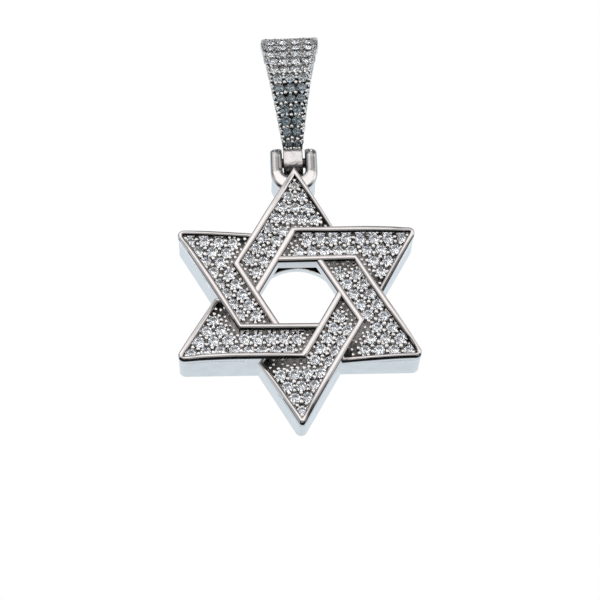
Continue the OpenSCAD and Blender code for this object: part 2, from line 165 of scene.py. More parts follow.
def stone_level(u, v):
    """Height of a ribbon's surface at a place of its plan."""
    low = max(0, ROOT3 * (u - U_OUTER_END))
    high = ROOT3 * u if u < U_NOTCH else max(BAND_W, BAND_W - ROOT3 * (u - U_INNER))
    t = 0 if high - low < 0.01 else min(1, max(0, (v - low) / (high - low)))
    return (1 - t) * lookup(u, NEAR) + t * lookup(u, FAR)


# Meshes
WELD = 1e-7


def loft(rings, path_closed=False, caps=False):
    """Skin over closed rings of points; caps close its two ends."""
    n, m = len(rings[0]), len(rings)
    verts = [p for ring in rings for p in ring]
    faces = []
    for i in range(m if path_closed else m - 1):
        for j in range(n):
            i2, j2 = (i + 1) % m, (j + 1) % n
            faces.append((i * n + j, i * n + j2, i2 * n + j2, i2 * n + j))
    if caps:
        faces.append(tuple(range(n))[::-1])
        faces.append(tuple(range((m - 1) * n, m * n)))
    return verts, faces


def joined(parts):
    verts, faces = [], []
    for v, f in parts:
        base = len(verts)
        verts += v
        faces += [tuple(base + i for i in face) for face in f]
    return verts, faces


def face_outward(mesh, weld=0.0):
    """Turns a mesh's faces outward, after its double points are welded where a distance is given."""
    bm = bmesh.new()
    bm.from_mesh(mesh)
    if weld:
        bmesh.ops.remove_doubles(bm, verts=bm.verts, dist=weld)
    bmesh.ops.recalc_face_normals(bm, faces=bm.faces)
    bm.to_mesh(mesh)
    bm.free()


def linked(name, data):
    obj = bpy.data.objects.new(name, data)
    bpy.context.scene.collection.objects.link(obj)
    return obj


# Body, slot and replaced nodes of the metal pieces
STAR_METAL = ("star", "polished_silver", ["star_frame"])
BAIL_METAL = ("bail", "polished_silver", ["bail"])


def piece(name, data, material, body, slot, replaces, sharp=34, weighted=True, turn=0.0, second=None):
    """A mesh piece in metres from points in millimetres.

    The second pair is another material and a test of face numbers for it.
    """
    verts, faces = data
    spin = Matrix.Rotation(turn, 3, "Z")
    mesh = bpy.data.meshes.new(name)
    mesh.from_pydata([spin @ Vector(v) * MM for v in verts], [], faces)
    mesh.materials.append(material)
    if second:
        mesh.materials.append(second[0])
        for i, face in enumerate(mesh.polygons):
            face.material_index = 1 if second[1](i) else 0
    face_outward(mesh, WELD)
    mesh.shade_smooth()
    mesh.set_sharp_from_angle(angle=radians(sharp))
    obj = linked(name, mesh)
    if weighted:
        mod = obj.modifiers.new("even_normals", "WEIGHTED_NORMAL")
        mod.keep_sharp = True
    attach(obj, body)
    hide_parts(*replaces)


# Shader nodes
# Places of a colour mix's sockets, since others have the same names
MIX_SHARE, MIX_A, MIX_B, MIX_RESULT = 0, 6, 7, 2


def wire(node, sockets):
    """Gives a node's inputs their values or their links, from (input, value or source) pairs."""
    for key, value in sockets:
        if isinstance(value, bpy.types.NodeSocket):
            node.id_data.links.new(value, node.inputs[key])
        else:
            node.inputs[key].default_value = value


def add_node(tree, kind, sockets=(), **settings):
    """New node with its settings and wired inputs."""
    made = tree.nodes.new(kind)
    for key, value in settings.items():
        setattr(made, key, value)
    wire(made, sockets)
    return made


def mixed(tree, share, a, b):
    """Colour a where the share is 0, and colour b where it is 1."""
    sockets = [(MIX_SHARE, share), (MIX_A, a), (MIX_B, b)]
    return add_node(tree, "ShaderNodeMix", sockets, data_type="RGBA").outputs[MIX_RESULT]


def ramp(tree, source, stops, interpolation="LINEAR"):
    """Colours read at a source from (place, grey or colour) stops."""
    made = add_node(tree, "ShaderNodeValToRGB", [("Fac", source)])
    made.color_ramp.interpolation = interpolation
    elements = made.color_ramp.elements
    while len(elements) < len(stops):
        elements.new(0.5)
    for element, (place, tone) in zip(elements, stops):
        element.position = place
        element.color = (*tone, 1) if isinstance(tone, tuple) else (tone, tone, tone, 1)
    return made.outputs["Color"]


def noise(tree, coord, scale, detail=2):
    sockets = [("Vector", coord), ("Scale", scale), ("Detail", detail)]
    return add_node(tree, "ShaderNodeTexNoise", sockets).outputs["Fac"]


# Materials
def principled(name):
    """New material, with its node tree and its shader."""
    mat = bpy.data.materials.new(name)
    mat.use_nodes = True
    return mat, mat.node_tree, mat.node_tree.nodes["Principled BSDF"]


def with_painted_shade(tree, coord, colour, tone, *spans):
    """Painted shade: a colour that turns into a darker tone before the start of every (axis, start, stop)
    span, in millimetres.
    """
    place = add_node(tree, "ShaderNodeSeparateXYZ", [(0, coord)])
    shares = []
    for axis, start, stop in spans:
        along = place.outputs[axis]
        if axis == "X":
            along = add_node(tree, "ShaderNodeMath", [(0, along)], operation="ABSOLUTE").outputs[0]
        sockets = [("Value", along), ("From Min", start * MM), ("From Max", stop * MM)]
        shares.append(add_node(tree, "ShaderNodeMapRange", sockets).outputs["Result"])
    most = add_node(tree, "ShaderNodeMath", [(0, shares[0]), (1, shares[-1])], operation="MAXIMUM")
    return mixed(tree, most.outputs[0], (*tone, 1), colour)


def metal(name, colour, rough, rough_range, grain, bump, dark=None, fade=None):
    """Polished metal with a cloudy gloss and tone, and a shallow cast waviness; a fade paints shade in as a
    darker tone.
    """
    mat, tree, bsdf = principled(name)
    coord = add_node(tree, "ShaderNodeTexCoord").outputs["Object"]
    cloud = noise(tree, coord, grain, 5)
    sockets = [("Value", cloud), ("From Min", 0.3), ("From Max", 0.7),
               ("To Min", rough - rough_range), ("To Max", rough + rough_range)]
    gloss = add_node(tree, "ShaderNodeMapRange", sockets).outputs["Result"]
    low = dark or tuple(c * 0.93 for c in colour)
    tint = ramp(tree, cloud, [(0.35, low), (0.6, colour)])
    if fade:
        tint = with_painted_shade(tree, coord, tint, *fade)
    wave = noise(tree, coord, grain * 1.7, 3)
    sockets = [("Height", wave), ("Strength", 1.0), ("Distance", bump * MM)]
    rise = add_node(tree, "ShaderNodeBump", sockets).outputs["Normal"]
    wire(bsdf, [("Metallic", 1.0), ("Roughness", gloss), ("Base Color", tint), ("Normal", rise)])
    return mat


def glass(name):
    """Clear cut stone with a faint cloudy tint."""
    mat, tree, bsdf = principled(name)
    cloud = noise(tree, add_node(tree, "ShaderNodeTexCoord").outputs["Object"], 900)
    tint = ramp(tree, cloud, [(0.0, (0.95, 0.97, 1.0)), (1.0, (1, 1, 1))])
    wire(bsdf, [("Transmission Weight", 1.0), ("IOR", 2.15), ("Roughness", 0.0), ("Base Color", tint)])
    return mat


SILVER = metal("silver_polished", (0.93, 0.92, 0.915), 0.07, 0.04, 900, 0.002)
RIMS = metal("silver_rims", (0.93, 0.905, 0.90), 0.12, 0.05, 1400, 0.004)
# The recess floor under the stones is darker than the polished silver, and near black where it lies deep
# under the rims and crossings: painted shade
FLOOR = metal("silver_recess_painted_shade", (0.8, 0.81, 0.79), 0.45, 0.1, 2600, 0.05, dark=(0.52, 0.53, 0.52),
              fade=((0.06, 0.065, 0.065), ("Y", -0.85, -1.1)))
# Painted shade: a near black tone for the rims' rounded faces that look down and forwards
SHADE = metal("silver_rim_edges_painted_shade", (0.09, 0.09, 0.09), 0.3, 0.1, 1800, 0.02, dark=(0.05, 0.05, 0.05))
BEADS = metal("silver_beads", (1.0, 0.99, 0.98), 0.14, 0.05, 4000, 0.004)
# Satin silver of the knuckle, painted dark towards its rounded underside: painted shade
SATIN = metal("silver_satin_painted_shade_below", (0.98, 0.96, 0.96), 0.26, 0.08, 1400, 0.05, dark=(0.74, 0.72, 0.72),
              fade=((0.2, 0.19, 0.19), ("Z", -14.75, -14.4)))
# Mirror facets under the bail's stones, painted darker and bluer towards the bail's lower end: painted shade
BAIL_FACETS = metal("bail_lower_facets_painted_shade", (0.97, 0.98, 1.0), 0.03, 0.02, 1500, 0.0005,
                    fade=((0.44, 0.5, 0.53), ("Z", -6.6, -4.8)))
# Floor of the bail's channel between the stones, painted darker towards the bail's lower end: painted shade
GROUND = metal("silver_between_stones_painted_shade", (0.95, 0.95, 0.94), 0.3, 0.1, 2600, 0.03, dark=(0.68, 0.68, 0.67),
               fade=((0.16, 0.17, 0.175), ("Z", -6.4, -4.6)))
# Rough silver for hidden inner faces, painted dark as painted shade
INSIDE = metal("silver_unpolished_painted_shade", (0.2, 0.2, 0.21), 0.34, 0.1, 1800, 0.03, dark=(0.07, 0.07, 0.07))
# The yoke's ears are painted near black on their inner sides above the slot's floor: painted shade in the
# slot
YOKE = metal("silver_yoke_painted_shade", (0.93, 0.92, 0.915), 0.07, 0.04, 900, 0.002,
             fade=((0.1, 0.1, 0.1), ("X", 1.2, 1.45), ("Z", -15.4, -15.8)))
STONES = glass("stone_clear")
FACETS = metal("stone_lower_facets", (0.97, 0.98, 1.0), 0.03, 0.02, 1500, 0.0005)


# Rims
# A rim's width on the outline and on its ribbon, its swelling, its height, and the bottom point's rounding
BAR_W, BAR_IN, SWELL, BAR_H, BOTTOM_R = 0.54, 0.46, 0.12, 0.8, 0.3
# Rounding of a rim's outer edge, what it gains on a side that faces down, its inner rounding and its dome
OUTER_ROUND, LOWER_ROUND, INNER_ROUND, DOME = 0.15, 0.13, 0.2, 0.065
# How far a short side runs on under the next ribbon, and the depth of a rim's foot where it crosses a ribbon
TUCKED, CROSSING_FOOT = 0.3, SHELL - 0.05
# Heights along a short side and along a long side, at shares of the edge and of the star's radius
SHORT_H = [(0.3, -0.08 * DIVE), (0.62, -0.42 * DIVE)]
LONG_H = [(0.2, 0.6 * CREST), (0.43, CREST), (0.65, 0.93 * CREST)]
# Heights at an inner side's corner and middle, its run past the ribbon's end, and the step along a rim
CORNER_H, MIDDLE_H, OVERRUN, RIM_STEP = 0.78 * CREST, 0.55 * CREST, 0.15, 0.35
# Distance from the star's centre to the wall of its window
WINDOW = 3.29
# How far a face painted in shade looks down at least, and its least and most share forward
SHADE_DOWN, SHADE_FRONT = 0.42, (0.05, 0.8)


def foot_depth(u, h):
    """Depth of a long side's outer foot, which grows where the side leaves the outline at a notch."""
    return BAR_H - h + (CROSSING_FOOT - BAR_H + h) * smoothstep(EDGE - 1.6, EDGE - 0.5, u)


def resampled(stations, step):
    """Straight runs between (outer, inner, height, foot) stations in short steps, with smooth heights."""
    dist = [0.0]
    for a, b in zip(stations, stations[1:]):
        dist.append(dist[-1] + max(0.02, ((a[0] + a[1]) / 2 - (b[0] + b[1]) / 2).length))
    height = smooth_through([(d, s[2]) for d, s in zip(dist, stations)])
    foot = smooth_through([(d, s[3]) for d, s in zip(dist, stations)])
    out = []
    for i, (a, b) in enumerate(zip(stations, stations[1:])):
        n = max(1, round((dist[i + 1] - dist[i]) / step))
        for j in range(n):
            t = j / n
            d = dist[i] + t * (dist[i + 1] - dist[i])
            out.append((a[0].lerp(b[0], t), a[1].lerp(b[1], t), height(d), foot(d)))
    return out + [stations[-1]]


def rim_stations(k):
    """Stations of ribbon k's rim in its own plan: outer and inner place, height and depth of its foot."""
    end = EDGE + TUCKED
    low_end = APEX + DOWN_SHORT * end, APEX + DOWN_SHORT * (end - BAR_W / ROOT3) + IN_SHORT * BAR_W
    stations = [(*low_end, -DIVE, DIVE + BAR_H)]
    for share, h in reversed(SHORT_H):
        p = APEX + DOWN_SHORT * share * EDGE
        stations.append((p, p + IN_SHORT * BAR_W, h, BAR_H - h))
    r = {0: TOP_R, 3: BOTTOM_R}.get(k, POINT_R)
    tip_in = vec(0, STAR_R - 2 * BAR_W)
    step = max(0.1, (r - BAR_W) * ROOT3 / 2)
    for i in range(-4, 5):
        tip_out = vec(0, STAR_R - 2 * r) + ray(radians(90 + 15 * i)) * r
        way = DOWN_SHORT if i < 0 else ALONG
        stations.append((tip_out, tip_in + way * (abs(i) / 2 * step), 0, BAR_H))
    long_side = [(share * STAR_R, h) for share, h in LONG_H]
    notch_side = [(u, lookup(u, long_side)) for u in (EDGE - 1.5, EDGE - 1.0, EDGE - 0.5)]
    for u, h in sorted(long_side + notch_side):
        stations.append((plan(u, 0), plan(u, BAR_W + SWELL * h / CREST), h, foot_depth(u, h)))
    # It turns along the inner side of the ribbon before it, and ends a little past that ribbon's end
    way = turned(ALONG, -1)
    near, far = BAND_W - BAR_IN, BAND_W + INNER_RIM_OUT
    corner = meet(APEX, ALONG, turned(plan(0, near), -1), way)
    inner_corner = meet(plan(0, BAR_W), ALONG, turned(plan(0, far), -1), way)
    stations.append((corner, inner_corner, CORNER_H, CROSSING_FOOT))
    middle = (U_INNER + U_INNER_END) / 2
    last_near, last_far = U_OUTER_END + near / ROOT3 + OVERRUN, U_OUTER_END + far / ROOT3 + OVERRUN
    for u, u2, h in ((middle, middle, MIDDLE_H), (last_near, last_far, 0.75 * MIDDLE_H)):
        stations.append((turned(plan(u, near), -1), turned(plan(u2, far), -1), h, CROSSING_FOOT))
    return resampled(stations, RIM_STEP)


def underside(p):
    """Depth that metal may reach over the hollow back at a place, sloping up towards the window."""
    n = max(p.dot(turned(vec(0, 1), i)) for i in range(6))
    if n < WINDOW + 0.06:
        return COLLAR - 0.02
    return min(SHELL, COLLAR + max(0.35 * (n - WINDOW), n - 4.2)) - 0.04


def bar_section(out, inn, h, foot, k):
    """Closed section of a rim, from its outer foot over its crowned top to its inner foot."""
    out, inn = turned(out, k), turned(inn, k)
    w = (inn - out).length
    side = (inn - out) / w
    ro, ri = (min(r, 0.45 * w) for r in (OUTER_ROUND + LOWER_ROUND * max(0, side.y), INNER_ROUND))
    pts = [(0.0, -min(foot, underside(out)) - h)]

    def crown(x):
        return DOME * (1 - (2 * x / w - 1) ** 2)

    for i in range(6):
        a = radians(18 * i)
        x = ro * (1 - cos(a))
        pts.append((x, crown(x) - ro * (1 - sin(a))))
    for x in (ro + (w - ro - ri) * 0.33, ro + (w - ro - ri) * 0.67):
        pts.append((x, crown(x)))
    for i in range(4, -1, -1):
        a = radians(22.5 * i)
        x = w - ri * (1 - cos(a))
        pts.append((x, crown(x) - ri * (1 - sin(a))))
    pts.append((w, -underside(inn) - h))
    return [placed(out + side * x, h + z) for x, z in pts]


def looks_down(data, i):
    """True for a rounding's face that looks down and forwards, whichever way its points run."""
    a, b, c = (data[0][j] for j in data[1][i][:3])
    n = (b - a).cross(c - a).normalized()
    return n.y * n.z > 0 and abs(n.z) > SHADE_DOWN and SHADE_FRONT[0] < abs(n.y) < SHADE_FRONT[1]


rims = joined([loft([bar_section(*s, k) for s in rim_stations(k)], caps=True) for k in range(6)])
# The rims' rounded faces that look down and forwards are painted in shade
piece("star_rims", rims, RIMS, *STAR_METAL, second=(SHADE, lambda i: looks_down(rims, i)))


# Case of the star
EDGE_STEPS, POINT_ANGLES = 14, range(150, 15, -15)
# Insets of the case's front edge and outer wall, the hole's rounding and bevel, and the window's bevel
CASE_IN, CASE_OUT, HOLE_ROUND, HOLE_BEVEL, WINDOW_BEVEL = 0.3, 0.02, 0.12, 0.06, 0.03
# Distance from the centre and depth of each corner of the case's front side, which the rims and floors hide
HIDDEN_CORNERS = ((WINDOW, 0.9), (3.6, 0.9), (3.6, 1.35), (4.1, 1.85))
# Its depth at the outline, and that of the case's front edge at a notch
HIDDEN_DEPTH, NOTCH_DEPTH = 1.85, 1.5
long_height = smooth_through([(0, 0)] + [(s * STAR_R, h) for s, h in LONG_H])
short_height = smooth_through([(0, 0)] + [(s * EDGE, h) for s, h in SHORT_H] + [(EDGE + TUCKED, -DIVE)])


def wall_tops():
    """Depth of the case's front edge for each outline place."""
    tops = [BAR_H - CASE_IN] * len(POINT_ANGLES)
    for i in range(1, EDGE_STEPS):
        tops.append(BAR_H - CASE_IN - short_height(EDGE * i / EDGE_STEPS))
    tops.append(NOTCH_DEPTH)
    for i in range(EDGE_STEPS - 1, 0, -1):
        u = EDGE * i / EDGE_STEPS
        tops.append(foot_depth(u, long_height(u)) - CASE_IN)
    return tops * 6


def star_outline(inset):
    """The star's outline at an inset, clockwise from the top point, with rounded points."""

    def on_point(r, degrees):
        return vec(0, STAR_R - 2 * inset - 2 * r) + ray(radians(degrees)) * r

    pts = []
    for k in range(6):
        r, next_r = TOP_R if k == 0 else POINT_R, TOP_R if k == 5 else POINT_R
        arc = [turned(on_point(r, a), k) for a in POINT_ANGLES]
        notch = turned(vec(0.5, ROOT3 / 2) * (STAR_R - 2 * inset) / ROOT3, k)
        next_start = turned(on_point(next_r, POINT_ANGLES[0]), k + 1)
        pts += arc
        pts += [arc[-1].lerp(notch, i / EDGE_STEPS) for i in range(1, EDGE_STEPS)]
        pts.append(notch)
        pts += [notch.lerp(next_start, i / EDGE_STEPS) for i in range(1, EDGE_STEPS)]
    return pts


ANGLES = [math.atan2(p.y, p.x) for p in star_outline(0)]


def round_ring(r):
    return [ray(a) * r for a in ANGLES]


def hex_ring(apothem):
    """Six-sided ring with one place at each angle of the outline."""
    return [ray(a) * apothem / cos(radians(math.degrees(a) % 60 - 30)) for a in ANGLES]


def flat(ring, depth):
    return [placed(p, -depth) for p in ring]


tops = wall_tops()
case = [[placed(p, -t) for p, t in zip(star_outline(inset), tops)] for inset in (CASE_IN, CASE_OUT)]
for i in range(7):
    a = radians(15 * i)
    case.append(flat(star_outline(CASE_OUT + BACK_ROUND * (1 - cos(a))), DEPTH - BACK_ROUND * (1 - sin(a))))
for i in range(5):
    a = radians(22.5 * i)
    case.append(flat(round_ring(HOLE_R + HOLE_ROUND - HOLE_ROUND * sin(a)),
                     DEPTH - HOLE_ROUND + HOLE_ROUND * cos(a)))
case.append(flat(round_ring(HOLE_R), DEPTH - PLATE + HOLE_BEVEL))
hollow_start = len(case)
case += [flat(round_ring(HOLE_R + HOLE_BEVEL), DEPTH - PLATE), flat(star_outline(WALL), DEPTH - PLATE),
         flat(star_outline(WALL), SHELL), flat(hex_ring(WINDOW + SHELL - COLLAR), SHELL)]
hollow_stop = len(case)
case += [flat(hex_ring(WINDOW + WINDOW_BEVEL), COLLAR + WINDOW_BEVEL), flat(hex_ring(WINDOW), COLLAR)]
case += [flat(hex_ring(apothem), depth) for apothem, depth in HIDDEN_CORNERS]
case.append(flat(star_outline(CASE_IN), HIDDEN_DEPTH))
# The faces from the back plate's inner side round to the window's wall stay unpolished, and are painted dark
# as painted shade in the hollow
piece("star_case", loft(case, path_closed=True), SILVER, *STAR_METAL,
      second=(INSIDE, lambda i: hollow_start <= i // len(ANGLES) < hollow_stop))


# Floors under the stones
FLOOR_ROWS, FLOOR_COLUMNS = 48, 10
# How far a floor stays inside its ribbon's sides, under the rims, and where a floor and the top one start
TUCK, FLOOR_START, TOP_FLOOR_START = 0.15, 0.85, 0.55


def ribbon_floor(k):
    """Floor of ribbon k and its underside."""
    start = TOP_FLOOR_START if k == 0 else FLOOR_START
    rings = []
    for i in range(FLOOR_ROWS + 1):
        u = start + (U_INNER_END - start) * i / FLOOR_ROWS
        low = max(TUCK, ROOT3 * (u - U_OUTER_END) - 2 * TUCK)
        if u < U_NOTCH + 2 * TUCK / ROOT3:
            high = ROOT3 * u - 2 * TUCK
        else:
            high = max(BAND_W - TUCK, BAND_W - ROOT3 * (u - U_INNER) + 2 * TUCK)
        vs = [low + (high - low) * j / FLOOR_COLUMNS for j in range(FLOOR_COLUMNS + 1)]
        top = [placed(turned(plan(u, v), k), stone_level(u, v) - RECESS) for v in vs]
        rings.append(top + [placed(turned(plan(u, v), k), -underside(plan(u, v))) for v in (high, low)])
    return loft(rings, caps=True)


piece("star_recess", joined([ribbon_floor(k) for k in range(6)]), FLOOR, *STAR_METAL)


# Stones
# Shares of the radius and the height at the inner corners of kites and lower halves, and the girdle's height
KITE_R, KITE_H, LOWER_R, LOWER_H, GIRDLE_T = 0.79, 0.6, 0.24, 0.78, 0.025
# Each eighth of a stone has 4 crown faces and then 3 pavilion faces, after the table and before the girdle
EIGHTH, CROWN_FACES = 7, 4
STONE_FACES = 1 + 8 * EIGHTH + 16
STONE_TILT, BEAD_TILT = 3, 4


def brilliant(at, out, side, up, d, spin):
    """Cut stone: table, star facets, kites, upper girdle facets, girdle, lower halves and mains."""
    r, s = d / 2, d / STONE
    spin = radians(spin)

    def ring(radius, z, n, shift):
        return [at + side * (radius * cos(spin + tau * (i + shift) / n))
                + up * (radius * sin(spin + tau * (i + shift) / n)) + out * z for i in range(n)]

    girdle = GIRDLE_T * s
    verts = (ring(r * TABLE, CROWN * s, 8, 0) + ring(r * KITE_R, CROWN * s * KITE_H, 8, 0.5)
             + ring(r, girdle / 2, 16, 0) + ring(r, -girdle / 2, 16, 0)
             + ring(r * LOWER_R, -PAVILION * s * LOWER_H, 8, 0.5) + [at - out * (PAVILION * s)])
    # First points of the table, kites, upper and lower girdle and lower halves, and the point at the bottom
    t, k, g, b, m, c = 0, 8, 16, 32, 48, 56
    faces = [tuple(range(8))]
    for i in range(8):
        j, h = (i + 1) % 8, (i - 1) % 8
        p, q, n = 2 * i, 2 * i + 1, (2 * i + 2) % 16
        faces += [(t + i, t + j, k + i), (k + i, t + i, k + h, g + p), (k + i, g + p, g + q),
                  (k + i, g + q, g + n), (b + p, b + q, m + i), (b + q, b + n, m + i),
                  (m + i, b + n, m + j, c)]
    faces += [(g + i, g + (i + 1) % 16, b + (i + 1) % 16, b + i) for i in range(16)]
    return verts, faces


def is_lower(i):
    """True for a pavilion face of joined stones."""
    i = i % STONE_FACES
    return 1 <= i <= 8 * EIGHTH and (i - 1) % EIGHTH >= CROWN_FACES


def ribbon_stones():
    """Stones (u, v, diameter) of a ribbon: rows that grow from its point, then two rows along its strip."""
    stones = []
    for row in range(math.floor((APOTHEM - CROSSING_ROOM - FIRST_ROW) / ROW) + 1):
        for i in range(row + 1):
            x, down = (i - row / 2) * PITCH, FIRST_ROW + row * ROW
            d = POINT_STONE if row == 0 else STONE
            stones.append((-x / 2 + down * ROOT3 / 2, x * ROOT3 / 2 + down / 2, d))
    for i, start in enumerate(START_ROOM):
        u, v = U_INNER + start, RIM_W + RIM_GAP + STONE / 2 + i * PITCH
        while u <= U_OUTER_END + v / ROOT3 - END_ROOM + HAIR:
            stones.append((u, v, STONE))
            u += PITCH
    return stones


RIBBON_STONES = ribbon_stones()
NAMES = ["top", "upper_right", "lower_right", "bottom", "lower_left", "upper_left"]


def tilted(out, side, up, amount):
    """The three axes tipped a little, as hand-set stones are."""
    turn = (Matrix.Rotation(radians(random.uniform(-amount, amount)), 3, side)
            @ Matrix.Rotation(radians(random.uniform(-amount, amount)), 3, up))
    return turn @ out, turn @ side, turn @ up


for k, name in enumerate(NAMES):
    gems = []
    for u, v, d in RIBBON_STONES:
        girdle = stone_level(u, v) - RECESS + SEAT + PAVILION * d / STONE
        axes = tilted(*FRONT_AXES, STONE_TILT)
        gems.append(brilliant(placed(turned(plan(u, v), k), girdle), *axes, d, random.uniform(0, 360)))
    piece("gems_" + name, joined(gems), STONES, "star", "clear_stones", ["stones_" + name], sharp=1,
          weighted=False, second=(FACETS, is_lower))


def half_w(z):
    """Half of the bail's width at a height."""
    w = lookup(z, [(KNUCKLE_TOP, KNUCKLE_W / 2), (LOOP_WALL - LOOP_STRAIGHT, LOOP_TOP_W / 2)])
    rise = z - (LOOP_WALL - LOOP_CORNER)
    if rise > 0:
        w -= LOOP_CORNER - sqrt(max(0, LOOP_CORNER ** 2 - rise ** 2))
    return w


def bail_axes(lean):
    """Outward, sideways and upward axes that lean back by an angle from the bail's front."""
    return vec(0, -cos(lean), sin(lean)), vec(1, 0, 0), vec(0, sin(lean), cos(lean))


def bail_place(x, a, r):
    """Place on the bail's front at an angle and a radius of its arc."""
    return vec(x, ARC_Y - r * cos(a), ARC_Z + r * sin(a))


def bail_height(s):
    """Height of the bail's front at a distance along its arc from the knuckle."""
    return ARC_Z + LOOP_R * sin(s / LOOP_R - radians(LOOP_A))


def bail_stones():
    """Stones (x, angle, radius, diameter) on the bail's front."""
    out = []
    limit = min(BAIL_STONE, BAIL_PITCH - STONE_GAP)
    for row, n in enumerate(BAIL_ROWS):
        a = (BAIL_FIRST + row * BAIL_PITCH) / LOOP_R - radians(LOOP_A)
        z = ARC_Z + LOOP_R * sin(a)
        room = 2 * (half_w(z - limit / 2) - CHANNEL_WALL - RIM_GAP)
        d = min(limit, (room - STONE_GAP * (n - 1)) / n)
        pitch = min((room - d) / (n - 1), d + MOST_GAP)
        r = LOOP_R - CHANNEL + SEAT / 2 + PAVILION * d / STONE
        for i in range(n):
            out.append(((i - (n - 1) / 2) * pitch, a, r, d))
    return out


gems = []
for x, a, r, d in bail_stones():
    axes = tilted(*bail_axes(a), STONE_TILT)
    gems.append(brilliant(bail_place(x, a, r), *axes, d, random.uniform(0, 360)))
piece("gems_bail", joined(gems), STONES, "bail", "clear_stones", ["stones_bail"], sharp=1, weighted=False,
      turn=BAIL_TURN, second=(BAIL_FACETS, is_lower))


# Beads that hold the stones
# Reach of three stones that share a bead, then radii: the least, and the most between three stones, beside
# one and on free places
TRIO_REACH = 1.75
LEAST_BEAD, TRIO_BEAD, SIDE_BEADS, FREE_BEAD = 0.1, 0.2, (0.19, 0.16), 0.16
# How far a bead covers a stone and a rim, how deep it sinks into its stone and at most another, and the
# spread of beads in sums of radii
OVER_STONE, OVER_RIM, SINK, MOST_SINK, SPREAD = 0.08, 0.05, 0.05, 0.09, 1.04
# The grid of free places with its stray, and their distances from rims, stones and beads
GRID, GRID_COLUMNS, GRID_ROWS, GRID_STRAY = 0.24, 68, 36, 0.06
FREE_RIM, FREE_STONE, FREE_APART = 0.12, 0.13, 0.4
SIDE_PLACES, BEAD_SIDES = 24, 10
# Shares of a bead's radius with the drop below its top, in radii
FLAT_HEAD = ((1.0, 0.4), (0.97, 0.2), (0.88, 0.08), (0.65, 0.025))
ROUND_HEAD = ((1.0, 0.6), (0.95, 0.33), (0.8, 0.13), (0.5, 0.035))
# Height of the bail's heads over the channel's floor, and level of the star's lowest beads
HEAD_H, LOWEST_BEAD = 0.6, -0.38
# Places and radius of the prongs at the knuckle, and inset, radius and places in a row of the side prongs
KNUCKLE_PRONGS, KNUCKLE_PRONG_R = (-0.66, -0.22, 0.22, 0.66), 0.12
PRONG_IN, PRONG_R, PRONG_SHARES = 0.1, 0.14, (0.33, 0.67)


def circumcentre(a, b, c):
    d = 2 * (a[0] * (b[1] - c[1]) + b[0] * (c[1] - a[1]) + c[0] * (a[1] - b[1]))
    if abs(d) < HAIR:
        return None
    sa, sb, sc = (p[0] ** 2 + p[1] ** 2 for p in (a, b, c))
    return ((sa * (b[1] - c[1]) + sb * (c[1] - a[1]) + sc * (a[1] - b[1])) / d,
            (sa * (c[0] - b[0]) + sb * (a[0] - c[0]) + sc * (b[0] - a[0])) / d)


def bead_places(stones, room, first=()):
    """Places (x, y, radius) for beads between stones (x, y, diameter), inside room(x, y)."""
    found = list(first)

    def gap(x, y):
        return min(math.hypot(x - s[0], y - s[1]) - s[2] / 2 for s in stones)

    def add(x, y, most, apart=0.0):
        r = min(most, gap(x, y) + OVER_STONE, room(x, y) + OVER_RIM)
        free = all(math.hypot(x - b[0], y - b[1]) >= max(apart, SPREAD * (r + b[2])) for b in found)
        if r >= LEAST_BEAD and free:
            found.append((x, y, r))

    for trio in itertools.combinations(stones, 3):
        if all(math.dist(a[:2], b[:2]) <= TRIO_REACH for a, b in itertools.combinations(trio, 2)):
            centre = circumcentre(*trio)
            if centre:
                add(*centre, TRIO_BEAD)
    for most in SIDE_BEADS:
        for x, y, d in stones:
            for i in range(SIDE_PLACES):
                a = tau * i / SIDE_PLACES
                away = d / 2 + most - SINK
                px, py = x + away * cos(a), y + away * sin(a)
                if gap(px, py) >= most - MOST_SINK:
                    add(px, py, most)
    for i in range(GRID_COLUMNS):
        for j in range(GRID_ROWS):
            x, y = GRID * i + GRID_STRAY * sin(5 * j), GRID * j + GRID_STRAY * sin(7 * i)
            if room(x, y) > FREE_RIM and gap(x, y) > FREE_STONE:
                add(x, y, FREE_BEAD, FREE_APART)
    return found


def bead(at, out, side, up, r, top, head):
    """A raised bead: a short post with a softly rounded, slightly three-sided head."""
    lean, spin = random.uniform(0.88, 1.12), random.uniform(0, tau)
    rings = []
    for rad, z in ((1.02, -0.1),) + tuple((rad, top - r * drop) for rad, drop in head):
        ring = []
        for i in range(BEAD_SIDES):
            a = tau * i / BEAD_SIDES
            rr = r * rad * (1 + 0.13 * cos(3 * a + spin))
            ring.append(at + side * (rr * cos(a)) + up * (lean * rr * sin(a)) + out * z)
        rings.append(ring)
    verts, faces = loft(rings)
    n = len(verts)
    last = n - BEAD_SIDES
    verts.append(at + out * top)
    faces += [(last + i, last + (i + 1) % BEAD_SIDES, n) for i in range(BEAD_SIDES)]
    faces.append(tuple(range(BEAD_SIDES))[::-1])
    return verts, faces


def ribbon_room(u, v):
    """Distance from a place of a ribbon to the nearest rim."""
    lines = [v - RIM_W, (ROOT3 * u - v) / 2 - RIM_W]
    if v > BAND_W - INNER_RIM_IN - 0.2 or u > U_INNER:
        lines.append(max(BAND_W - INNER_RIM_IN - v, -((u - U_INNER) * ROOT3 + (v - BAND_W)) / 2))
    lines.append((ROOT3 * (U_OUTER_END - u) + v) / 2)
    return min(lines)


